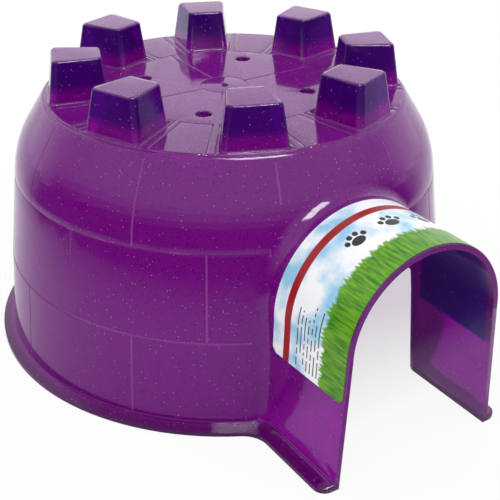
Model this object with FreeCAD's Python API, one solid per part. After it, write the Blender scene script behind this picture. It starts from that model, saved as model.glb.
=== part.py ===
import FreeCAD, Part
import math
import os

V = FreeCAD.Vector

# Rodent igloo: one thin moulded shell with a castle top, a tunnel doorway and a
# printed label wrapped over the tunnel. All sizes are in millimetres. Forms are made
# with the floor at Z = 0, the round body about the Z axis and the doorway towards -Y,
# and are moved at the end so that the origin is under the middle of the whole part.

# Moulded wall
wall = 2.4

# Round body: two leaning courses, a rounded shoulder, a slope and a raised plate
wall_radius_low = 109.6
lower_course_height = 41.9
lower_course_lean = 3.2
middle_course_height = 40.0
middle_course_lean = 4.9
shoulder_run = 15.9
shoulder_rise = 36.2
slope_angle = 32.3
shoulder_radius = 46.0
rim_rounding = 2.2
plate_ledge = 1.4
plate_rise = 0.9
plate_edge_chamfer = 0.4

# Foot flange that the shell stands on
foot_width = 5.4
tunnel_foot_width = 6.6
foot_edge_height = 1.9
foot_height = 3.4
foot_corner_radius = 5.5
foot_blend_radius = 12.0
foot_bite = 0.4

# Tunnel doorway: upright legs under a half-round arch, wider towards the round body
tunnel_reach = 40.8
tunnel_half_width = 42.2
tunnel_drop = 19.0
leg_lean = 3.5
arch_growth = 0.04
arch_bite = 0.05
root_depth = 45.6
junction_fillet = 7.0
inner_junction_fillet = 8.0

# Hollow merlons round the top plate
merlon_count = 8
merlon_height = 18.8
merlon_setback = 2.0
merlon_depth = 26.8
merlon_outer_draft = 2.6
merlon_inner_draft = 1.6
merlon_half_width = 15.0
merlon_splay = 9.4
merlon_side_draft = 2.3
merlon_corner_radius = 3.0
merlon_top_chamfer = 0.8
merlon_wall = 2.2

# Vent holes in the top plate
vent_radius = 3.6
vent_circle_radius = 40.0
vent_count = 4
vent_chamfer = 0.5

# Centre disc and the scar of the moulding gate on it
disc_radius = 11.2
gate_radius = 1.7
gate_offset = 0.5
gate_height = 1.1
gate_tilt = 22.0

# Stone courses drawn on the wall as shallow grooves
joint_width = 1.3
joint_depth = 0.5
upright_joint_share = 0.7
joint_reach = 1.0
bricks_per_course = 10
joint_rim_gap = 2.5
joint_foot_gap = 0.5
joint_door_gap = 1.4
course_door_gap = 4.5

# Flagstones drawn on the top plate
flag_joint_width = 0.9
flag_joint_depth = 0.45
flag_ring_gap = 3.6
spoke_angles = (-90.0, -36.0, 90.0, 180.0)
flag_pair_offset = 9.6
flag_pair_spacing = 2.6

# Printed label wrapped over the tunnel
label_thickness = 0.3
label_mouth_margin = 0.8
label_root_margin = 5.6
label_bottom = 41.5
label_corner_radius = 3.0

# Sizes worked out from the ones above
shoulder_height = lower_course_height + middle_course_height
wall_radius_middle = wall_radius_low - lower_course_lean
wall_radius_high = wall_radius_middle - middle_course_lean
rim_radius = wall_radius_high - shoulder_run
rim_height = shoulder_height + shoulder_rise
slope_foot_radius = rim_radius + shoulder_rise * math.tan(math.radians(slope_angle))
plate_radius = rim_radius - plate_ledge
plate_height = rim_height + plate_rise
ceiling_height = plate_height - wall
mouth_distance = wall_radius_low + tunnel_reach
root_distance = wall_radius_low - root_depth
tunnel_height = rim_height - tunnel_drop
mouth_arch_radius = tunnel_half_width - leg_lean
foot_radius = wall_radius_low + foot_width
merlon_outer_base = plate_radius - merlon_setback
merlon_inner_base = merlon_outer_base - merlon_depth
merlon_top = plate_height + merlon_height
merlon_step = 360.0 / merlon_count
merlon_start = merlon_step / 2
flag_ring_radius = merlon_inner_base - flag_ring_gap
label_front = mouth_distance - label_mouth_margin
label_back = wall_radius_low - label_root_margin

# How far cutting forms run past what they cut, and how closely edges are matched
over = 10.0
tolerance = 0.001


def line(a, b):
    return Part.makeLine(a, b)


class WallLine:
    """A straight stretch of the wall's section, from one (radius, height) to another."""

    def __init__(self, low, high):
        self.low = low
        self.high = high
        self.lean = (low[0] - high[0]) / (high[1] - low[1])

    def radius_at(self, height, inset=0.0):
        return self.low[0] - self.lean * (height - self.low[1]) - inset * math.hypot(1, self.lean)

    def edge(self, low, high, inset=0.0):
        return line(*[V(self.radius_at(z, inset), 0, z) for z in (low, high)])

    def meets(self, other, inset):
        """The height at which two straight stretches meet, both moved in by inset."""
        gap = self.radius_at(0, inset) - other.radius_at(0, inset)
        return gap / (self.lean - other.lean)


class WallArc:
    """A rounding of the wall's section that runs on from both of its neighbours."""

    def __init__(self, below, above, radius):
        self.radius = radius
        corner = below.meets(above, radius)
        self.centre = (below.radius_at(corner, radius), corner)
        self.low = corner + radius * math.sin(math.atan(below.lean))
        self.high = corner + radius * math.sin(math.atan(above.lean))

    def radius_at(self, height, inset=0.0):
        rise = height - self.centre[1]
        return self.centre[0] + math.sqrt((self.radius - inset) ** 2 - rise ** 2)

    def height_inside(self, height, inset):
        """The height of the point straight in from the outer point at this height."""
        return self.centre[1] + (height - self.centre[1]) * (1 - inset / self.radius)

    def edge(self, low, high, inset=0.0):
        points = [V(self.radius_at(z, inset), 0, z) for z in (low, (low + high) / 2, high)]
        return Part.Arc(*points).toShape()


LOWER = WallLine((wall_radius_low, 0.0), (wall_radius_middle, lower_course_height))
MIDDLE = WallLine(LOWER.high, (wall_radius_high, shoulder_height))
SLOPE = WallLine((slope_foot_radius, shoulder_height), (rim_radius, rim_height))
SHOULDER = WallArc(MIDDLE, SLOPE, shoulder_radius)


def stretch_at(height):
    """The stretch of the wall's section that a height falls in."""
    for top, stretch in ((lower_course_height, LOWER), (SHOULDER.low, MIDDLE), (SHOULDER.high, SHOULDER)):
        if height < top:
            return stretch
    return SLOPE


def outer_radius(height, inset=0.0):
    return stretch_at(height).radius_at(height, inset)


def wall_section(low, high, inset=0.0):
    """The edges of the wall's section between two heights, moved in by inset."""
    fold = LOWER.meets(MIDDLE, inset)
    bend_start = SHOULDER.height_inside(SHOULDER.low, inset)
    bend_end = SHOULDER.height_inside(SHOULDER.high, inset)
    stretches = (
        (LOWER, low, fold),
        (MIDDLE, fold, bend_start),
        (SHOULDER, bend_start, bend_end),
        (SLOPE, bend_end, high),
    )
    edges = []
    for stretch, start, end in stretches:
        start, end = max(start, low), min(end, high)
        if end - start > tolerance:
            edges.append(stretch.edge(start, end, inset))
    return edges


def joined(edges):
    return Part.Wire(Part.__sortEdges__(edges))


def solid_of_revolution(edges, angle=360.0):
    face = Part.Face(joined(edges))
    return face.revolve(V(0, 0, 0), V(0, 0, 1), angle)


def edges_where(shape, test):
    return [edge for edge in shape.Edges if test(edge)]


def corners_joined(points):
    return [line(a, b) for a, b in zip(points, points[1:])]


def round_body():
    """The outer solid of the round body, with its rounded rim and raised top plate."""
    centre_height = rim_height - rim_rounding
    centre_radius = SLOPE.radius_at(centre_height, rim_rounding)
    lean = math.atan(SLOPE.lean)

    def on_rounding(angle):
        out, up = rim_rounding * math.cos(angle), rim_rounding * math.sin(angle)
        return V(centre_radius + out, 0, centre_height + up)

    start = on_rounding(lean)
    middle = on_rounding((lean + math.pi / 2) / 2)
    end = V(centre_radius, 0, rim_height)
    edges = wall_section(0.0, start.z)
    edges.append(Part.Arc(start, middle, end).toShape())
    edges += corners_joined([
        end,
        V(plate_radius, 0, rim_height),
        V(plate_radius, 0, plate_height - plate_edge_chamfer),
        V(plate_radius - plate_edge_chamfer, 0, plate_height),
        V(0, 0, plate_height),
        V(0, 0, 0),
        V(wall_radius_low, 0, 0),
    ])
    return solid_of_revolution(edges)


def round_cavity():
    """The room inside the round body, one wall in from the outside."""
    edges = wall_section(-over, ceiling_height, wall)
    edges += corners_joined([
        V(outer_radius(ceiling_height, wall), 0, ceiling_height),
        V(0, 0, ceiling_height),
        V(0, 0, -over),
        V(LOWER.radius_at(-over, wall), 0, -over),
    ])
    return solid_of_revolution(edges)


def arch_radius_at(distance):
    return mouth_arch_radius + arch_growth * (mouth_distance - distance)


def leg_outline(distance, grow, floor):
    """The tunnel's section below its arch: legs that lean in and run on into the arch."""
    half = tunnel_half_width + grow
    radius = arch_radius_at(distance) + grow - arch_bite
    middle = tunnel_height - arch_radius_at(distance)
    turn = math.acos(radius / math.hypot(half, middle)) - math.atan2(middle, half)
    side = V(radius * math.cos(turn), -distance, middle + radius * math.sin(turn))
    foot = V(half + (side.x - half) / side.z * floor, -distance, floor)
    return Part.makePolygon([foot, side, V(-side.x, side.y, side.z), V(-foot.x, foot.y, foot.z), foot])


def arch_cone(grow, front):
    """A cone whose crown is level: it gives the arch, which widens towards the body."""
    tilt = math.atan(arch_growth)
    reach = (mouth_arch_radius + grow) / arch_growth
    apex = V(0, -mouth_distance - reach, tunnel_height + grow)
    axis = V(0, math.cos(tilt), -math.sin(tilt))
    near, far = [(reach + mouth_distance - distance) * math.cos(tilt)
                 for distance in (front + over, root_distance - over)]
    cone = Part.makeCone(near * arch_growth, far * arch_growth, far - near, apex + axis * near, axis)
    width = tunnel_half_width + over
    room = Part.makeBox(2 * width, front - root_distance, tunnel_height + over, V(-width, -front, 0))
    return cone.common(room)


def tunnel(grow, front, floor=0.0):
    """A solid tunnel bar from root_distance to front, moved out or in by grow."""
    ends = [leg_outline(distance, grow, floor) for distance in (root_distance, front)]
    legs = Part.makeLoft(ends, True, True)
    return legs.fuse(arch_cone(grow, front)).removeSplitter()


def is_junction(edge):
    """True for the edges where the tunnel grows out of the round body."""
    span = edge.LastParameter - edge.FirstParameter
    start, middle, end = [edge.valueAt(edge.FirstParameter + share * span) for share in (0.1, 0.5, 0.9)]

    def on_wall(point):
        height = min(max(point.z, 0.0), rim_height)
        return abs(math.hypot(point.x, point.y) - outer_radius(height)) < 1.5 * wall

    in_front = max(start.y, middle.y, end.y) < -(root_distance + wall)
    rises = edge.BoundBox.ZLength > wall and middle.z > wall
    return in_front and rises and on_wall(start) and on_wall(middle) and on_wall(end)


def blended(body, bar, radius):
    """Round body and tunnel as one solid, with a concave blend where they meet."""
    joined_up = body.fuse(bar)
    return joined_up.makeFillet(radius, edges_where(joined_up, is_junction))


def plan_outline(radius, half_width, corner, blend, height):
    """The outline of round body and tunnel seen from above, with blended corners."""
    reach = radius + blend
    centre = V(half_width + blend, -math.sqrt(reach ** 2 - (half_width + blend) ** 2), height)
    to_axis = V(-centre.x / reach, -centre.y / reach, 0)
    to_side = V(-1, 0, 0)
    bisector = (to_axis + to_side).normalize()
    touch = centre + to_axis * blend
    bend = centre + bisector * blend
    tangent = centre + to_side * blend
    front = -mouth_distance
    diagonal = corner * (1 - math.sqrt(0.5))
    side_end = V(half_width, front + corner, height)
    corner_middle = V(half_width - diagonal, front + diagonal, height)
    front_end = V(half_width - corner, front, height)

    def mirror(point):
        return V(-point.x, point.y, point.z)

    return Part.Wire([
        Part.Arc(touch, V(0, radius, height), mirror(touch)).toShape(),
        Part.Arc(mirror(touch), mirror(bend), mirror(tangent)).toShape(),
        line(mirror(tangent), mirror(side_end)),
        Part.Arc(mirror(side_end), mirror(corner_middle), mirror(front_end)).toShape(),
        line(mirror(front_end), front_end),
        Part.Arc(front_end, corner_middle, side_end).toShape(),
        line(side_end, tangent),
        Part.Arc(tangent, bend, touch).toShape(),
    ])


def foot_flange():
    """The flat foot round the whole outline: an upright edge, then a slope to the wall."""
    half_width = tunnel_half_width + tunnel_foot_width
    edge = [plan_outline(foot_radius, half_width, foot_corner_radius, foot_blend_radius, height)
            for height in (0.0, foot_edge_height)]
    inner = plan_outline(LOWER.radius_at(foot_height) - foot_bite, tunnel_half_width - foot_bite,
                         foot_bite, junction_fillet, foot_height)
    lower = Part.makeLoft(edge, True, True)
    upper = Part.makeLoft([edge[1], inner], True, True)
    return lower.fuse(upper)


def frustum(base, top):
    """A solid with flat faces between two polygons that have parallel sides."""
    faces = [list(reversed(base)), top]
    for index in range(len(base)):
        following = (index + 1) % len(base)
        faces.append([base[index], base[following], top[following], top[index]])
    shell = Part.makeShell([Part.Face(Part.makePolygon(face + [face[0]])) for face in faces])
    return Part.makeSolid(shell)


def merlon_section(height, inset):
    """A merlon's section at a height, moved in by inset: wide outside, narrow inside."""
    share = (height - plate_height) / merlon_height
    outer = merlon_outer_base - merlon_outer_draft * share - inset
    inner = merlon_inner_base + merlon_inner_draft * share + inset
    splay = math.tan(math.radians(merlon_splay))
    half_outer = merlon_half_width - merlon_side_draft * share - splay * (merlon_outer_base - outer) - inset
    half_inner = half_outer - splay * (outer - inner)
    return [V(half_outer, -outer, height), V(half_inner, -inner, height),
            V(-half_inner, -inner, height), V(-half_outer, -outer, height)]


def merlon_block():
    """One merlon's outer form, pointing at -Y: a tapered block with its edges eased."""
    block = frustum(merlon_section(plate_height, 0.0), merlon_section(merlon_top, 0.0))
    upright = edges_where(block, lambda e: e.BoundBox.ZLength > merlon_height / 2)
    block = block.makeFillet(merlon_corner_radius, upright)
    crown = edges_where(block, lambda e: e.BoundBox.ZMin > merlon_top - tolerance)
    return block.makeChamfer(merlon_top_chamfer, crown)


def merlon_hollow():
    """The room inside one merlon, open to the inside of the igloo."""
    top = merlon_top - merlon_wall
    return frustum(merlon_section(ceiling_height, merlon_wall), merlon_section(top, merlon_wall))


def turned(shape, degrees):
    copy = shape.copy()
    copy.rotate(V(0, 0, 0), V(0, 0, 1), degrees)
    return copy


def ring_of(shape, angles):
    return [turned(shape, angle) for angle in angles]


def merlon_angles():
    return [merlon_start + merlon_step * index for index in range(merlon_count)]


def course_joint(height, half_angle):
    """A level V groove round the wall, open in front over twice half_angle degrees."""
    radius = outer_radius(height)
    half = joint_width / 2 * (joint_depth + joint_reach) / joint_depth
    bottom = V(radius - joint_depth, 0, height)
    below = V(radius + joint_reach, 0, height - half)
    above = V(radius + joint_reach, 0, height + half)
    edges = [line(below, bottom), line(bottom, above), line(above, below)]
    groove = solid_of_revolution(edges, 360.0 - 2 * half_angle)
    return turned(groove, half_angle - 90.0)


def upright_joint(low, high):
    """An upright groove in the wall at -Y, between two heights."""
    angle = math.degrees(joint_width * upright_joint_share / outer_radius(low))
    floor, top = [wall_section(low, high, inset) for inset in (joint_depth, -joint_reach)]
    ends = [line(floor[index].Vertexes[index].Point, top[index].Vertexes[index].Point) for index in (0, -1)]
    return turned(solid_of_revolution(floor + top + ends, angle), -90.0 - angle / 2)


def door_half_angle(height):
    """The angle from -Y at which the tunnel's side meets the wall at this height."""
    arch_middle = tunnel_height - mouth_arch_radius
    if height < arch_middle:
        half = tunnel_half_width
    else:
        half = math.sqrt(max(mouth_arch_radius ** 2 - (height - arch_middle) ** 2, 0.0))
    radius = outer_radius(height)
    return math.degrees(math.asin(half / radius) + course_door_gap / radius)


def wall_joints():
    """Brick courses: level joints, and upright joints staggered from course to course."""
    step = 360.0 / bricks_per_course
    cutters = [course_joint(height, door_half_angle(height))
               for height in (lower_course_height, shoulder_height)]
    courses = (
        (foot_height + joint_foot_gap, lower_course_height, step / 2),
        (lower_course_height, shoulder_height, 0.0),
        (shoulder_height, rim_height - joint_rim_gap, step / 2),
    )
    for low, high, start in courses:
        for index in range(bricks_per_course):
            angle = start + step * index
            from_door = abs((angle + 180.0) % 360.0 - 180.0)
            bottom = low
            if from_door < door_half_angle(low):
                bottom = tunnel_height + joint_door_gap
            if bottom < high:
                cutters.append(turned(upright_joint(bottom, high), angle))
    return cutters


def flag_groove_face(centre, across):
    """The V section of a plate groove at a point, with its width along a direction."""
    side = across * (flag_joint_width / 2)
    up = V(0, 0, joint_reach)
    corners = [centre - side, centre - V(0, 0, flag_joint_depth), centre + side,
               centre + side + up, centre - side + up]
    return Part.Face(Part.makePolygon(corners + [corners[0]]))


def flag_line(start, end):
    """A straight V groove in the top plate along -Y, between two distances."""
    face = flag_groove_face(V(0, -start, plate_height), V(1, 0, 0))
    return face.extrude(V(0, start - end, 0))


def flag_ring(radius, start_angle, sweep):
    """A round V groove in the top plate, from start_angle over sweep degrees."""
    face = flag_groove_face(V(radius, 0, plate_height), V(1, 0, 0))
    return turned(face.revolve(V(0, 0, 0), V(0, 0, 1), sweep), start_angle - 90.0)


def plate_joints():
    """Flagstones: a centre disc, a few spokes, and an outer ring of separate stones."""
    cutters = [flag_ring(disc_radius, 0.0, 360.0)]
    cutters += ring_of(flag_line(disc_radius, flag_ring_radius), spoke_angles)
    half_band = math.degrees(flag_pair_spacing / 2 / flag_ring_radius)
    narrow = 2 * (flag_pair_offset - half_band)
    wide = merlon_step - 2 * (flag_pair_offset + half_band)
    stone_side = flag_line(flag_ring_radius, plate_radius + joint_reach)
    for index in range(merlon_count):
        middle = merlon_step * index
        cutters.append(flag_ring(flag_ring_radius, middle - narrow / 2, narrow))
        cutters.append(flag_ring(flag_ring_radius, middle + (merlon_step - wide) / 2, wide))
        for offset in (-flag_pair_offset, flag_pair_offset):
            for side in (-half_band, half_band):
                cutters.append(turned(stone_side, middle + offset + side))
    return cutters


def vent_holes():
    """Round holes through the top plate, each with its upper edge eased."""
    low, high = ceiling_height - over / 2, plate_height + vent_chamfer
    hole = solid_of_revolution(corners_joined([
        V(0, 0, low),
        V(vent_radius, 0, low),
        V(vent_radius, 0, plate_height - vent_chamfer),
        V(vent_radius + 2 * vent_chamfer, 0, high),
        V(0, 0, high),
        V(0, 0, low),
    ]))
    hole.translate(V(0, -vent_circle_radius, 0))
    step = 360.0 / vent_count
    return [turned(hole, step / 2 + step * index) for index in range(vent_count)]


def gate_scar():
    """The low, uneven stub where the plastic entered the mould."""
    base = V(gate_offset, 0, plate_height - wall / 2)
    stub = Part.makeCylinder(gate_radius, wall / 2 + gate_height, base)
    size = 4 * gate_radius
    wedge = Part.makeBox(size, size, size, V(-size / 2, -size / 2, 0))
    wedge.rotate(V(0, 0, 0), V(0, 1, 0), gate_tilt)
    wedge.translate(V(gate_offset, 0, plate_height + gate_height / 2))
    return stub.cut(wedge)


def igloo_shell():
    """The whole moulding: outer form less the room inside, then its holes and grooves."""
    outer = blended(round_body(), tunnel(0.0, mouth_distance), junction_fillet)
    outer = outer.cut(wall_joints() + vent_holes())
    cavity = blended(round_cavity(), tunnel(-wall, mouth_distance + over, -over), inner_junction_fillet)
    angles = merlon_angles()
    outer = outer.fuse([foot_flange(), gate_scar()])
    outer = outer.cut(plate_joints())
    outer = outer.fuse(ring_of(merlon_block(), angles))
    cavity = cavity.fuse(ring_of(merlon_hollow(), angles))
    return outer.cut(cavity)


def doorway_label():
    """The thin label laid over the tunnel, with rounded lower corners."""
    sheet = tunnel(label_thickness, mouth_distance).cut(tunnel(0.0, mouth_distance))
    x = -(tunnel_half_width + over)
    front, back = -label_front, -label_back
    top, low = tunnel_height + over, label_bottom
    corner = label_corner_radius
    diagonal = corner * (1 - math.sqrt(0.5))
    outline = Part.Wire([
        line(V(x, front, top), V(x, front, low + corner)),
        Part.Arc(V(x, front, low + corner), V(x, front + diagonal, low + diagonal),
                 V(x, front + corner, low)).toShape(),
        line(V(x, front + corner, low), V(x, back - corner, low)),
        Part.Arc(V(x, back - corner, low), V(x, back - diagonal, low + diagonal),
                 V(x, back, low + corner)).toShape(),
        line(V(x, back, low + corner), V(x, back, top)),
        line(V(x, back, top), V(x, front, top)),
    ])
    return sheet.common(Part.Face(outline).extrude(V(-2 * x, 0, 0)))


def main():
    os.makedirs("parts", exist_ok=True)
    to_box_centre = V(0, (mouth_distance - foot_radius) / 2, 0)
    for name, make in (("igloo_shell", igloo_shell), ("doorway_label", doorway_label)):
        piece = make().Solids[0]
        piece.translate(to_box_centre)
        piece.exportStep("parts/" + name + ".step")
        print(name, "valid", piece.isValid(), "volume in cubic mm", round(piece.Volume, 1))


main()
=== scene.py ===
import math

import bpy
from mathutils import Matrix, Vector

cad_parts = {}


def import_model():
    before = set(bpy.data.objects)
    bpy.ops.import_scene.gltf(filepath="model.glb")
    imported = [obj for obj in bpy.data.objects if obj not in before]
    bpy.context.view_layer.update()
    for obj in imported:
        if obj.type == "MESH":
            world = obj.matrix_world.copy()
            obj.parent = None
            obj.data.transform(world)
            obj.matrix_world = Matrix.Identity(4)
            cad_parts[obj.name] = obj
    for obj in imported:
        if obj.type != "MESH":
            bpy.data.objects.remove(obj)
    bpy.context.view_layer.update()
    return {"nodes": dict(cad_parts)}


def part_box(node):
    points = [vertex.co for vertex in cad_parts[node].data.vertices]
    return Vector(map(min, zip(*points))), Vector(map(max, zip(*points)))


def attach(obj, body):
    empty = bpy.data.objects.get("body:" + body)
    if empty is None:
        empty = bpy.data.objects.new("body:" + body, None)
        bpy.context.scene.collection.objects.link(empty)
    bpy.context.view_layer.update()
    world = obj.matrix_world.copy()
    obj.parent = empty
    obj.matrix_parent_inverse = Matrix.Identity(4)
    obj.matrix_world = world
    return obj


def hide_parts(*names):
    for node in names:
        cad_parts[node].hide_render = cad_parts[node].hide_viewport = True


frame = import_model()

# %% [markdown]
# A rodent igloo is one hollow moulding of translucent purple plastic with fine glitter in it:
# a round house with a plate on top, eight hollow merlons around the plate and a vaulted
# doorway, over which a printed sheet is glued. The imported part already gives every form, as
# two nodes, so this lesson dresses them: smooth copies, the plastic, the print, a white
# studio and a camera. Lengths are in metres, Z is up and the doorway opens towards -Y.

# %% [markdown]
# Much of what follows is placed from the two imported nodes, so the first step measures them.
# The numbers could be typed in from a drawing. Reading them from the boxes of the nodes is
# safer, because the print and the even shading then keep to the sheet and to the house.

MM = 0.001
SHELL_LOW, SHELL_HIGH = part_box("igloo_shell")
LABEL_LOW, LABEL_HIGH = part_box("doorway_label")
AXIS_Y = SHELL_HIGH.y - SHELL_HIGH.x
print("shell", [round(v, 4) for v in SHELL_LOW], [round(v, 4) for v in SHELL_HIGH])
print("label", [round(v, 4) for v in LABEL_LOW], [round(v, 4) for v in LABEL_HIGH])
print("axis of the round body at y", round(AXIS_Y, 4))

# %% [markdown]
# Plastic, print, floor and light are all built from the same few shader nodes, so these
# helpers keep each later step to a line or two. Nodes could be added by hand in the shader
# editor, but a function that takes values and links together reads like a formula.

# %% Helpers for materials
WHITE = (1.0, 1.0, 1.0, 1.0)


def srgb(red, green, blue):
    """A display colour, 0 to 255, as the linear colour that a shader takes."""
    def linear(value):
        value /= 255.0
        return value / 12.92 if value <= 0.04045 else ((value + 0.055) / 1.055) ** 2.4
    return (linear(red), linear(green), linear(blue), 1.0)


def new_material(name):
    material = bpy.data.materials.new(name)
    material.use_nodes = True
    return material, material.node_tree, material.node_tree.nodes["Principled BSDF"]


def fill(tree, made, inputs):
    """Give the named inputs of a shader node their values or links."""
    for key, value in inputs.items():
        if isinstance(value, bpy.types.NodeSocket):
            tree.links.new(value, made.inputs[key])
        else:
            made.inputs[key].default_value = value


def node(tree, kind, inputs=None, **settings):
    """A new shader node with its settings and its inputs."""
    made = tree.nodes.new(kind)
    for key, value in settings.items():
        setattr(made, key, value)
    fill(tree, made, inputs or {})
    return made


def math_node(tree, operation, *values):
    return node(tree, "ShaderNodeMath", dict(enumerate(values)), operation=operation).outputs[0]


def vector_node(tree, operation, first, second):
    made = node(tree, "ShaderNodeVectorMath", {0: first, 1: second}, operation=operation)
    return made.outputs["Value" if operation in ("DOT_PRODUCT", "DISTANCE") else "Vector"]


print("a display colour of 128 is linear", round(srgb(128, 128, 128)[0], 3))

# %% [markdown]
# The plastic and the print both change colour from place to place. The changes could be
# painted by hand, but a painted picture is one more file. Here each is a mask, a small sum
# that is 1 where a colour lies and 0 elsewhere, and the colours are laid over one another.

# %% Masks and layers
def all_of(tree, *masks):
    """1 where every mask is 1: their product."""
    product = masks[0]
    for mask in masks[1:]:
        product = math_node(tree, "MULTIPLY", product, mask)
    return product


def mix_colour(tree, factor, first, second):
    made = node(tree, "ShaderNodeMix", {0: factor, 6: first, 7: second}, data_type="RGBA")
    return made.outputs[2]


def layered(tree, colour, layers):
    """A base colour with others laid over it in order, each as far as its mask covers."""
    for mask, over in layers:
        colour = mix_colour(tree, mask, colour, over)
    return colour


def span(tree, value, low, high):
    """0 up to a low value, 1 from a high one, and even between them."""
    spans = {"Value": value, "From Min": low, "From Max": high}
    return node(tree, "ShaderNodeMapRange", spans).outputs[0]


def rising(tree, value, edge, soft):
    """0 below an edge and 1 above it, over a soft width."""
    return span(tree, value, edge - soft / 2, edge + soft / 2)


def falling(tree, value, edge, soft):
    """1 below an edge and 0 above it, over a soft width."""
    return math_node(tree, "SUBTRACT", 1.0, rising(tree, value, edge, soft))


def place_on_piece(tree):
    """The shaded place in the piece's own measures, whole and split into X, Y and Z."""
    place = node(tree, "ShaderNodeTexCoord").outputs["Object"]
    return place, node(tree, "ShaderNodeSeparateXYZ", {"Vector": place}).outputs


print("masks run from 0 outside to 1 inside, and layers are laid in order")

# %% [markdown]
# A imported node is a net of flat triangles, and the real moulding has no facets. Subdividing
# would change the form, so the copy is only welded, and its shading is smoothed where two
# triangles meet at less than a given angle. The weighted normals then lean towards the larger
# triangles, which keeps flat faces flat beside their small roundings.

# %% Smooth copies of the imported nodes
WELD = 0.002 * MM
SMOOTH_DEGREES = 28.0


def smooth_copy(name, source):
    """A welded, smooth-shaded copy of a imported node, which then stands for it."""
    bpy.ops.object.select_all(action="DESELECT")
    copy = source.copy()
    copy.data = source.data.copy()
    copy.name = name
    copy.parent = None
    for key in list(copy.keys()):
        del copy[key]
    bpy.context.scene.collection.objects.link(copy)
    bpy.context.view_layer.objects.active = copy
    copy.select_set(True)
    bpy.ops.object.mode_set(mode="EDIT")
    bpy.ops.mesh.select_all(action="SELECT")
    bpy.ops.mesh.remove_doubles(threshold=WELD)
    bpy.ops.object.mode_set(mode="OBJECT")
    bpy.ops.object.shade_smooth_by_angle(angle=math.radians(SMOOTH_DEGREES))
    weighted = copy.modifiers.new("even_shading", "WEIGHTED_NORMAL")
    weighted.mode = "FACE_AREA"
    weighted.keep_sharp = True
    bpy.ops.object.modifier_apply(modifier=weighted.name)
    copy.data.materials.clear()
    return copy


print("smooth copies: welded within", WELD, "m, smooth below", SMOOTH_DEGREES, "degrees")

# %% [markdown]
# The wall of the house is a turned form with straight bands, and the joints that are cut
# into it leave long thin triangles there. Their averaged normals wobble, which shows as
# scallops in the gloss. A finer mesh would hide that at the cost of weight. Instead, each
# corner of the wall gets the direction that a truly round wall has at that place.

# %% Even shading on the round wall
WALL_INNER, WALL_OUTER = 84.0 * MM, 110.5 * MM
FOOT_TOP, RIM_TOP = 3.6 * MM, 118.3 * MM
STRAIGHT_BANDS = ((0.0, 71.0 * MM), (91.0 * MM, 115.0 * MM))
ROUND_ENOUGH = 0.05
UP = Vector((0, 0, 1))


def outward(place):
    """The level direction away from the round body's axis at a place."""
    return Vector((place.x, place.y - AXIS_Y, 0.0)).normalized()


def on_round_wall(face):
    """Whether a face lies on the round wall and doesn't turn aside from it."""
    radius = math.hypot(face.center.x, face.center.y - AXIS_Y)
    outer = SHELL_HIGH.x if face.center.z < FOOT_TOP else WALL_OUTER
    in_band = WALL_INNER < radius < outer and face.center.z < RIM_TOP
    along = UP.cross(outward(face.center))
    return in_band and abs(face.normal.dot(along)) < ROUND_ENOUGH


def level_round_wall(piece):
    """Shade the round wall as truly round, and its straight bands without a bend."""
    mesh = piece.data
    normals = [corner.vector.copy() for corner in mesh.corner_normals]
    count = 0
    for face in mesh.polygons:
        if on_round_wall(face):
            count += 1
            straight = any(low < face.center.z < high for low, high in STRAIGHT_BANDS)
            for corner in face.loop_indices:
                out = outward(mesh.vertices[mesh.loops[corner].vertex_index].co)
                if straight:
                    share_out, share_up = face.normal.dot(outward(face.center)), face.normal.z
                else:
                    share_out, share_up = normals[corner].dot(out), normals[corner].z
                normals[corner] = (out * share_out + UP * share_up).normalized()
    mesh.normals_split_custom_set(normals)
    print("round wall triangles evened", count, "of", len(mesh.polygons))


print("round wall between radii", WALL_INNER, "and", WALL_OUTER)

# %% [markdown]
# The plastic is coloured all through and lets part of the light pass, so it takes its look
# from three things: the purple body, a thin gloss, and what shines through from behind. A
# glass shader would let the light pass too, but it has no body of its own, and the pale
# ground would wash the purple out. A principled shader with a little more than half of its
# colour given to transmission does all three at once.

# %% Colours of the plastic
PURPLE = srgb(152, 4, 164)
# Painted shade: a deeper purple high on the merlons, another under the sheet and a dark one on the
# foot. Painted light on the joints of the wall, painted shade on those of the plate.
MERLON_SHADE_PURPLE = srgb(84, 0, 138)
SHEET_SHADE_PURPLE = srgb(80, 0, 170)
FOOT_SHADE_PURPLE = srgb(98, 0, 106)
JOINT_PAINTED_LIGHT, JOINT_PAINTED_SHADE = srgb(208, 112, 210), srgb(70, 0, 92)
SPECK_PURPLE = srgb(34, 0, 64)
FLAKE = srgb(255, 225, 255)
PLASTIC_ROUGHNESS, PLASTIC_IOR = 0.09, 1.42
PLASTIC_SPECULAR, PLASTIC_TRANSMISSION = 0.35, 0.6
print("body colour", [round(v, 3) for v in PURPLE[:3]])

# %% [markdown]
# Dark specks and bright flakes lie in the plastic at random. They could be small meshes, but
# thousands of them would be heavy, and they don't stand proud. A cell pattern through the
# solid puts one dot in some of its cells, so the dots stay the same size on every face. Its
# scale is in cells per metre, a dot's radius is in cells, and the share is of the cells.

# %% Specks and flakes
SPECKS = {"scale": 1300.0, "radius": 0.32, "share": 0.22}
FLAKES = {"scale": 1200.0, "radius": 0.19, "share": 0.07}


def scattered(tree, place, scale, radius, share):
    """1 inside small dots: a share of the cells of a pattern each hold one."""
    cells = node(tree, "ShaderNodeTexVoronoi", {"Vector": place, "Scale": scale}).outputs
    near = math_node(tree, "LESS_THAN", cells["Distance"], radius)
    pick = node(tree, "ShaderNodeSeparateColor", {"Color": cells["Color"]}).outputs[0]
    return all_of(tree, near, math_node(tree, "GREATER_THAN", pick, 1 - share))


print("specks", SPECKS, "flakes", FLAKES)
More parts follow.
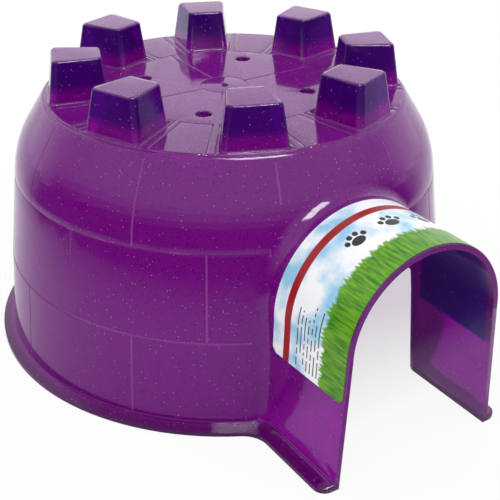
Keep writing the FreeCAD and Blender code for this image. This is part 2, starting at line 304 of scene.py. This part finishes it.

# %% [markdown]
# Where little light comes through, the plastic looks deeper and bluer: high on the sides of
# the hollow merlons, and under the glued sheet, which blocks the light from behind. It could
# be left to the light, but one body colour can't be red where it is lit through and blue where
# it isn't. So painted shade is laid there by place as deeper purples, softly up the merlons
# and with a clear edge under the sheet, and a dark painted shade on the foot, which lies on
# the ground. The joints between the blocks are thinner plastic: they get painted light on the
# wall, where light comes through them, and painted shade on the plate, where they hold shade.
# They are found as the narrow places that see little of the sky. Heights are in millimetres here.

# %% Painted shade and light on the plastic
MERLON_SHADE_HEIGHT, MERLON_SHADE_SOFT = 125.0, 4.5
TOP_FACES, TOP_SOFT = 0.75, 0.3
MOUTH_BAND = 2.5 * MM
FOOT_HEIGHT, FOOT_SOFT = 3.0, 0.8
JOINT_REACH, JOINT_SAMPLES = 1.0 * MM, 8
JOINT_EDGE, JOINT_SOFT = 0.78, 0.3
JOINT_UPWARD, JOINT_TURN = 0.7, 0.2


def upward(tree):
    """1 on faces that look up, 0 on upright ones."""
    normal = node(tree, "ShaderNodeNewGeometry").outputs["Normal"]
    return node(tree, "ShaderNodeSeparateXYZ", {"Vector": normal}).outputs["Z"]


def height(tree, split):
    return math_node(tree, "DIVIDE", split["Z"], MM)


def painted_shade_on_merlons(tree, split):
    """Painted shade: 1 on the upper sides of the merlons, and 0 on their tops."""
    high = rising(tree, height(tree, split), MERLON_SHADE_HEIGHT, MERLON_SHADE_SOFT)
    return all_of(tree, high, falling(tree, upward(tree), TOP_FACES, TOP_SOFT))


def painted_shade_under_sheet(tree, split):
    """Painted shade, 1 inside the box the glued sheet fills, short of the band at the mouth."""
    limits = (("GREATER_THAN", split["Y"], LABEL_LOW.y + MOUTH_BAND),
              ("LESS_THAN", split["Y"], LABEL_HIGH.y),
              ("GREATER_THAN", split["Z"], LABEL_LOW.z),
              ("LESS_THAN", split["Z"], LABEL_HIGH.z),
              ("LESS_THAN", math_node(tree, "ABSOLUTE", split["X"]), LABEL_HIGH.x))
    return all_of(tree, *(math_node(tree, *limit) for limit in limits))


def painted_joint_mask(tree):
    """For painted light and shade: 1 in narrow places, such as the joints between the blocks."""
    sky_seen = node(tree, "ShaderNodeAmbientOcclusion", {"Distance": JOINT_REACH},
                    samples=JOINT_SAMPLES, only_local=True)
    return falling(tree, sky_seen.outputs["AO"], JOINT_EDGE, JOINT_SOFT)


def joint_light_and_shade(tree):
    """Painted light in the joints of the wall, painted shade in those of the upward faces."""
    on_top = rising(tree, upward(tree), JOINT_UPWARD, JOINT_TURN)
    return mix_colour(tree, on_top, JOINT_PAINTED_LIGHT, JOINT_PAINTED_SHADE)


# Painted shade on the foot, which lies on the ground: 1 below the foot's height.
def painted_shade_on_foot(tree, split):
    return falling(tree, height(tree, split), FOOT_HEIGHT, FOOT_SOFT)


print("deeper purple from", MERLON_SHADE_HEIGHT, "mm up and under the sheet")

# %% [markdown]
# The shell is the whole house in one shot of plastic, with no seam between its parts. Each
# tint could be a material of its own on chosen faces, but then every change of tint would
# follow the edges of triangles. One material keeps the moulding whole: its tints, with the
# painted light and shade, lie over the body colour in order, specks first and flakes last.

# %% The shell in purple plastic
def plastic():
    material, tree, shader = new_material("purple_plastic")
    place, split = place_on_piece(tree)
    # Painted light and shade lie among the specks and flakes: joints, foot, merlon sides, sheet.
    layers = ((scattered(tree, place, **SPECKS), SPECK_PURPLE),
              (painted_joint_mask(tree), joint_light_and_shade(tree)),
              (painted_shade_on_foot(tree, split), FOOT_SHADE_PURPLE),
              (painted_shade_on_merlons(tree, split), MERLON_SHADE_PURPLE),
              (painted_shade_under_sheet(tree, split), SHEET_SHADE_PURPLE),
              (scattered(tree, place, **FLAKES), FLAKE))
    fill(tree, shader, {"Base Color": layered(tree, PURPLE, layers),
                        "Roughness": PLASTIC_ROUGHNESS,
                        "IOR": PLASTIC_IOR,
                        "Specular IOR Level": PLASTIC_SPECULAR,
                        "Transmission Weight": PLASTIC_TRANSMISSION})
    return material


shell = smooth_copy("shell", frame["nodes"]["igloo_shell"])
level_round_wall(shell)
shell.data.materials.append(plastic())
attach(shell, "root")
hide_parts("igloo_shell")
print("shell", len(shell.data.polygons), "triangles")

# %% [markdown]
# The printed sheet is bent over the vault, so its pattern is drawn on it as if it lay flat:
# one measure runs in from its back edge, and one along the arch from its crown. A picture
# wrapped on by coordinates would need a file. Two short formulas in the shader need none.

# %% Measures on the printed sheet
LABEL_DEPTH = (LABEL_HIGH.y - LABEL_LOW.y) / MM
ARCH_RADIUS = 39.5
ARCH_MIDDLE = LABEL_HIGH.z / MM - ARCH_RADIUS
CLOUD_DETAIL = 4.0


def label_measures(tree):
    """Millimetres in from the label's back edge, and along the arch from its crown."""
    split = place_on_piece(tree)[1]
    x, y, z = [math_node(tree, "DIVIDE", split[axis], MM) for axis in "XYZ"]
    inward = math_node(tree, "SUBTRACT", LABEL_HIGH.y / MM, y)
    angle = math_node(tree, "ARCTAN2", x, math_node(tree, "SUBTRACT", z, ARCH_MIDDLE))
    return inward, math_node(tree, "MULTIPLY", angle, ARCH_RADIUS)


def between(tree, value, low, high, soft):
    return all_of(tree, rising(tree, value, low, soft), falling(tree, value, high, soft))


def flat_place(tree, first, second, third=0.0):
    return node(tree, "ShaderNodeCombineXYZ", {0: first, 1: second, 2: third}).outputs[0]


def cloudy(tree, place, scale):
    inputs = {"Vector": place, "Scale": scale, "Detail": CLOUD_DETAIL}
    return node(tree, "ShaderNodeTexNoise", inputs).outputs["Fac"]


print("sheet", round(LABEL_DEPTH, 1), "mm deep, its arch round", round(ARCH_MIDDLE, 1), "mm up")

# %% [markdown]
# The print is a plain one of the kind that pet houses carry: a sky with clouds, a stripe
# near the back edge and a band of grass at the mouth. Each cloud and blade could be drawn as
# an outline of its own. One noise pattern for each kind gives the same uneven edges in a line
# or two, left round for the clouds and stretched towards the mouth for the blades.

# %% Sky, stripe and grass
SKY_WHITE, SKY_BLUE = srgb(250, 252, 255), srgb(150, 203, 235)
STRIPE_RED = srgb(158, 8, 18)
GRASS_DARK, GRASS_LIGHT = srgb(38, 118, 6), srgb(112, 172, 12)
INK = srgb(34, 34, 40)
# The glued side of the sheet is a dark blue painted shade.
LABEL_BACK_SHADE = srgb(30, 10, 120)
CLOUD_SCALE, CLOUD_FROM, CLOUD_TO = 0.055, 0.45, 0.62
STRIPE_FROM, STRIPE_TO = 7.0, 11.1
BLADE_SCALE, BLADE_SQUEEZE = 0.9, 0.12
BLADE_MIDDLE, BLADE_SOFT = 0.5, 0.3
GRASS_EDGE, GRASS_SOFT, GRASS_RAGGED = 31.0, 1.4, 9.0
PRINT_SOFT = 0.3


def sky(tree, inward, along):
    cloud = cloudy(tree, flat_place(tree, along, inward), CLOUD_SCALE)
    return mix_colour(tree, span(tree, cloud, CLOUD_FROM, CLOUD_TO), SKY_WHITE, SKY_BLUE)


def grass(tree, inward, along):
    """How much the green band covers the sky, and its colour."""
    squeezed = math_node(tree, "MULTIPLY", inward, BLADE_SQUEEZE)
    blades = cloudy(tree, flat_place(tree, along, squeezed), BLADE_SCALE)
    share = rising(tree, blades, BLADE_MIDDLE, BLADE_SOFT)
    from_middle = math_node(tree, "SUBTRACT", blades, BLADE_MIDDLE)
    uneven = math_node(tree, "ADD", inward, math_node(tree, "MULTIPLY", from_middle, GRASS_RAGGED))
    cover = rising(tree, uneven, GRASS_EDGE, GRASS_SOFT)
    return cover, mix_colour(tree, share, GRASS_DARK, GRASS_LIGHT)


print("stripe from", STRIPE_FROM, "to", STRIPE_TO, "mm, grass from", GRASS_EDGE, "mm")

# %% [markdown]
# Rows of broken dashes give the lower left side a fine pattern without saying anything, and
# a row of paw marks crosses the crown. Both could be cut out as meshes, but they are ink,
# flat in the sheet. Each paw is one oval pad and four oval toes, folded on its own middle
# line so that two toes do for four, and repeated by wrapping the measure along the arch.

# %% Dashes and paw marks
DASH_PITCH, DASH_HEIGHT, DASH_LENGTH = 2.2, 0.6, 1.3
DASH_ROWS_FROM, DASH_ROWS_TO = 14.4, 29.6
DASH_BOTTOM, DASH_TOP = -77.0, -44.0
DASH_SHARE, DASH_RAGGED = 0.78, 12.0
ENDS_DRAW = 7.0
PAW_PITCH, PAW_INWARD = 17.0, 21.5
PAW_FROM, PAW_TO = -25.5, 42.5
PAD_SIZE, TOE_SIZE = (3.1, 2.5), (1.15, 1.45)
TOES = ((1.5, -4.3), (4.1, -2.2))
OVAL_SOFT, CUT_SOFT = 0.12, 0.1


def white_noise(tree, place):
    return node(tree, "ShaderNodeTexWhiteNoise", {"Vector": place}).outputs["Value"]


def dashes(tree, inward, along):
    """Rows of broken dashes low on the left side, each row with an upper end of its own."""
    rows = math_node(tree, "DIVIDE", inward, DASH_PITCH)
    row = math_node(tree, "FLOOR", rows)
    step = math_node(tree, "FLOOR", math_node(tree, "DIVIDE", along, DASH_LENGTH))
    dash = white_noise(tree, flat_place(tree, step, row))
    end = white_noise(tree, flat_place(tree, row, row, ENDS_DRAW))
    top = math_node(tree, "SUBTRACT", DASH_TOP, math_node(tree, "MULTIPLY", end, DASH_RAGGED))
    in_row = math_node(tree, "FRACT", rows)
    return all_of(tree,
                  math_node(tree, "LESS_THAN", in_row, DASH_HEIGHT / DASH_PITCH),
                  math_node(tree, "GREATER_THAN", dash, 1.0 - DASH_SHARE),
                  math_node(tree, "LESS_THAN", along, top),
                  math_node(tree, "GREATER_THAN", along, DASH_BOTTOM),
                  between(tree, inward, DASH_ROWS_FROM, DASH_ROWS_TO, CUT_SOFT))


def oval(tree, across, inward, centre, size):
    """1 inside an oval, given by its centre and its half widths in millimetres."""
    squares = []
    for value, middle, half in zip((across, inward), centre, size):
        side = math_node(tree, "DIVIDE", math_node(tree, "SUBTRACT", value, middle), half)
        squares.append(math_node(tree, "MULTIPLY", side, side))
    distance = math_node(tree, "SQRT", math_node(tree, "ADD", *squares))
    return falling(tree, distance, 1.0, OVAL_SOFT)


def paws(tree, inward, along):
    """A row of plain paw marks over the crown: one pad and four toes each."""
    wrapped = math_node(tree, "WRAP", along, PAW_PITCH / 2, -PAW_PITCH / 2)
    across = math_node(tree, "ABSOLUTE", wrapped)
    marks = oval(tree, across, inward, (0.0, PAW_INWARD), PAD_SIZE)
    for aside, ahead in TOES:
        toe = oval(tree, across, inward, (aside, PAW_INWARD + ahead), TOE_SIZE)
        marks = math_node(tree, "MAXIMUM", marks, toe)
    return all_of(tree, marks, between(tree, along, PAW_FROM, PAW_TO, CUT_SOFT))


print("paw marks", PAW_PITCH, "mm apart")

# %% [markdown]
# The sheet is coated paper, printed on the outside. Its glued side, towards the plastic, gets
# a dark blue painted shade, since the sheet keeps the light from it. Its two sides could be two
# materials. One material that asks which way the surface faces from the middle of the arch
# keeps the piece whole, and the print then covers it in order: sky, grass, stripe and ink,
# with the painted shade of the glued side last.

# %% The sheet over the doorway
PAPER_ROUGHNESS, PAPER_IOR = 0.3, 1.42


def painted_shade_on_glued_side(tree):
    """Painted shade: 1 on the glued side, which looks towards the middle of the arch."""
    shape = node(tree, "ShaderNodeNewGeometry").outputs
    from_middle = vector_node(tree, "SUBTRACT", shape["Position"], (0, 0, ARCH_MIDDLE * MM))
    across = vector_node(tree, "MULTIPLY", from_middle, (1, 0, 1))
    facing = vector_node(tree, "DOT_PRODUCT", across, shape["True Normal"])
    return math_node(tree, "LESS_THAN", facing, 0.0)


def label_print():
    material, tree, shader = new_material("label_print")
    measures = label_measures(tree)
    stripe = between(tree, measures[0], STRIPE_FROM, STRIPE_TO, PRINT_SOFT)
    ink = math_node(tree, "MAXIMUM", dashes(tree, *measures), paws(tree, *measures))
    layers = (grass(tree, *measures), (stripe, STRIPE_RED), (ink, INK),
              (painted_shade_on_glued_side(tree), LABEL_BACK_SHADE))
    fill(tree, shader, {"Base Color": layered(tree, sky(tree, *measures), layers),
                        "Roughness": PAPER_ROUGHNESS,
                        "IOR": PAPER_IOR})
    return material


label = smooth_copy("label", frame["nodes"]["doorway_label"])
label.data.materials.append(label_print())
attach(label, "root")
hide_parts("doorway_label")
print("label", len(label.data.polygons), "triangles")

# %% [markdown]
# The photograph has a white ground. The floor could simply be very bright, but then it would
# light the object as well. So it is a plain pale floor that keeps the shadow, and rays that
# come straight from the camera or through the plastic see mostly white. Under the house that
# white fades, as the ground does in its shade. In the gloss, the ground behind the object is
# white and the far ground in front of it is grey, as in a room with one lit backdrop. The
# rear is the level direction away from the camera.

# %% Where the floor shows white
WHITE_OUTSIDE, WHITE_INSIDE = 0.92, 0.60
MIRROR_INSIDE, MIRROR_TUNNEL = 0.03, 0.9
MIRROR_START, MIRROR_END = -0.066, -0.09
HOUSE_RADIUS, TUNNEL_HALF = 0.108, 0.046
INSIDE_Y, MOUTH_Y = -0.035, -0.105
FAR_FRONT, FAR_FADE, FAR_GREY = 0.27, 0.16, 0.1
REAR = (0.546, 0.838, 0.0)
REAR_SHARE, REAR_SOFT = 0.35, 0.3
TUNNEL_THROUGH = 0.3


def chosen(tree, where, there, elsewhere):
    inputs = {0: where, 2: elsewhere, 3: there}
    return node(tree, "ShaderNodeMix", inputs, data_type="FLOAT").outputs[0]


def floor_white(tree):
    """How much of the floor shows plain grey or white, and how bright that is."""
    ray = node(tree, "ShaderNodeLightPath").outputs
    place, split = place_on_piece(tree)
    from_axis = vector_node(tree, "DISTANCE", place, (0, AXIS_Y, 0))
    in_house = math_node(tree, "LESS_THAN", from_axis, HOUSE_RADIUS)
    aside = math_node(tree, "ABSOLUTE", split["X"])
    in_tunnel = all_of(tree, math_node(tree, "LESS_THAN", aside, TUNNEL_HALF),
                       math_node(tree, "LESS_THAN", split["Y"], 0.0))
    under = math_node(tree, "MAXIMUM", in_house, in_tunnel)

    def towards_mouth(start, end, inside, outside):
        spans = {"Value": split["Y"], "From Min": start, "From Max": end,
                 "To Min": inside, "To Max": outside}
        return node(tree, "ShaderNodeMapRange", spans).outputs[0]

    toward = math_node(tree, "DIVIDE", vector_node(tree, "DOT_PRODUCT", place, REAR), from_axis)
    rearward = rising(tree, toward, REAR_SHARE, REAR_SOFT)
    far = rising(tree, from_axis, FAR_FRONT, FAR_FADE)
    mirror_far = all_of(tree, ray["Is Glossy Ray"], far)
    fading = towards_mouth(INSIDE_Y, MOUTH_Y, WHITE_INSIDE, WHITE_OUTSIDE)
    straight = chosen(tree, under, fading, WHITE_OUTSIDE)
    through = chosen(tree, in_tunnel, TUNNEL_THROUGH, WHITE_OUTSIDE)
    through = chosen(tree, in_house, MIRROR_INSIDE, through)
    mirror = all_of(tree, in_tunnel,
                    towards_mouth(MIRROR_START, MIRROR_END, MIRROR_INSIDE, MIRROR_TUNNEL))
    share = mirror_far
    for kind, part in (("Is Camera Ray", straight), ("Is Transmission Ray", through),
                       ("Is Glossy Ray", mirror)):
        share = math_node(tree, "MAXIMUM", share, all_of(tree, ray[kind], part))
    level = chosen(tree, mirror_far, chosen(tree, rearward, 1.0, FAR_GREY), 1.0)
    return share, level


print("floor shows", WHITE_OUTSIDE, "of full white outside and", WHITE_INSIDE, "in the house")

# %% [markdown]
# The ground itself is one level sheet. It could touch the foot, but two surfaces at the same
# height flicker, so it lies a hair under the part, too little to be seen as a gap.

# %% White floor
FLOOR_DROP, FLOOR_SIZE = 0.3 * MM, 6.0
FLOOR_PALE, FLOOR_ROUGHNESS = (0.9, 0.9, 0.9, 1.0), 0.9


def floor():
    bpy.ops.object.select_all(action="DESELECT")
    bpy.ops.mesh.primitive_plane_add(size=FLOOR_SIZE, location=(0, 0, -FLOOR_DROP))
    plane = bpy.context.object
    plane.name = "floor"
    material, tree, shader = new_material("floor_white")
    fill(tree, shader, {"Base Color": FLOOR_PALE, "Roughness": FLOOR_ROUGHNESS,
                        "Specular IOR Level": 0.0})
    share, level = floor_white(tree)
    white = node(tree, "ShaderNodeEmission", {"Color": WHITE, "Strength": level}).outputs[0]
    mixed = node(tree, "ShaderNodeMixShader", {0: share, 1: shader.outputs[0], 2: white})
    fill(tree, tree.nodes["Material Output"], {"Surface": mixed.outputs[0]})
    plane.data.materials.append(material)


floor()
print("floor", round(FLOOR_DROP / MM, 1), "mm under the part")

# %% [markdown]
# Soft daylight comes from all round: bright from behind and above, weak from low in front, as
# from a window wall behind the object. An image of a studio would do, but needs a file. Two
# grey ramps by height, one for the front and one for the rear, give the same reflections.

# %% Studio light
REAR_EDGE, REAR_WIDTH = 0.275, 0.35
FRONT_LEVELS = ((0.0, 0.05), (0.12, 0.3), (0.48, 1.3), (1.0, 1.15))
REAR_LEVELS = ((0.0, 1.3), (0.6, 1.3), (0.85, 0.9))


def ramp(tree, up, stops):
    """Grey brightness by height: stops are pairs of (direction's Z, brightness)."""
    made = node(tree, "ShaderNodeValToRGB", {"Fac": up})
    elements = made.color_ramp.elements
    while len(elements) < len(stops):
        elements.new(0.5)
    for element, (position, level) in zip(elements, stops):
        element.position = position
        element.color = (level, level, level, 1)
    return made.outputs[0]


def world():
    scene_world = bpy.data.worlds.new("studio")
    bpy.context.scene.world = scene_world
    scene_world.use_nodes = True
    tree = scene_world.node_tree
    direction = node(tree, "ShaderNodeTexCoord").outputs["Generated"]
    toward = vector_node(tree, "DOT_PRODUCT", direction, REAR)
    up = node(tree, "ShaderNodeSeparateXYZ", {"Vector": direction}).outputs["Z"]
    studio = mix_colour(tree, rising(tree, toward, REAR_EDGE, REAR_WIDTH),
                        ramp(tree, up, FRONT_LEVELS), ramp(tree, up, REAR_LEVELS))
    camera_ray = node(tree, "ShaderNodeLightPath").outputs["Is Camera Ray"]
    fill(tree, tree.nodes["Background"],
         {"Color": mix_colour(tree, camera_ray, studio, WHITE), "Strength": 1.0})


world()
print("studio light set, strongest", max(level for _, level in FRONT_LEVELS + REAR_LEVELS))

# %% [markdown]
# The thin bright lines along the upper edges of the merlons are a lamp high in front, seen in
# their roundings. A lamp that lit the plastic too would flatten it, so this softbox shows in
# the gloss alone.

# %% Softbox for the glints
GLINT_PLACE, GLINT_AIM = (-0.03, -0.57, 1.18), (0.0, 0.0, 0.1)
GLINT_WIDTH, GLINT_DEPTH, GLINT_POWER = 0.6, 0.65, 25.0


def softbox(name, centre, aim, width, depth, power):
    lamp = bpy.data.lights.new(name, "AREA")
    lamp.shape = "RECTANGLE"
    lamp.size, lamp.size_y, lamp.energy = width, depth, power
    holder = bpy.data.objects.new(name, lamp)
    turn = (Vector(aim) - Vector(centre)).to_track_quat("-Z", "Y").to_matrix().to_4x4()
    holder.matrix_world = Matrix.Translation(centre) @ turn
    bpy.context.scene.collection.objects.link(holder)
    holder.visible_diffuse = False
    holder.visible_transmission = False


softbox("glint_box", GLINT_PLACE, GLINT_AIM, GLINT_WIDTH, GLINT_DEPTH, GLINT_POWER)
print("softbox", GLINT_WIDTH, "by", GLINT_DEPTH, "m")

# %% [markdown]
# The camera stands where the photograph was taken: a long lens, a little over half a metre
# away, 33 degrees to the left of the doorway and 28 degrees up. It could be placed by eye.
# Here the angles, the distance and the lens were fitted to edges that both pictures show.

# %% Camera
AZIMUTH, ELEVATION, ROLL = -33.11, 28.49, 0.25
DISTANCE, LENS, SENSOR = 0.5274, 73.42, 36.0
TARGET = (10.51 * MM, AXIS_Y - 6.86 * MM, 29.46 * MM)
CLIP_NEAR, CLIP_FAR = 0.01, 20.0


def camera():
    data = bpy.data.cameras.new("camera")
    data.lens, data.sensor_width = LENS, SENSOR
    data.clip_start, data.clip_end = CLIP_NEAR, CLIP_FAR
    holder = bpy.data.objects.new("camera", data)
    bpy.context.scene.collection.objects.link(holder)
    turn = (Matrix.Rotation(math.radians(AZIMUTH), 4, "Z")
            @ Matrix.Rotation(math.radians(90 - ELEVATION), 4, "X")
            @ Matrix.Rotation(math.radians(ROLL), 4, "Z"))
    holder.matrix_world = Matrix.Translation(TARGET) @ turn @ Matrix.Translation((0, 0, DISTANCE))
    bpy.context.scene.camera = holder


camera()
bpy.context.scene.view_settings.view_transform = "Standard"
print("camera", LENS, "mm lens at", DISTANCE, "m")
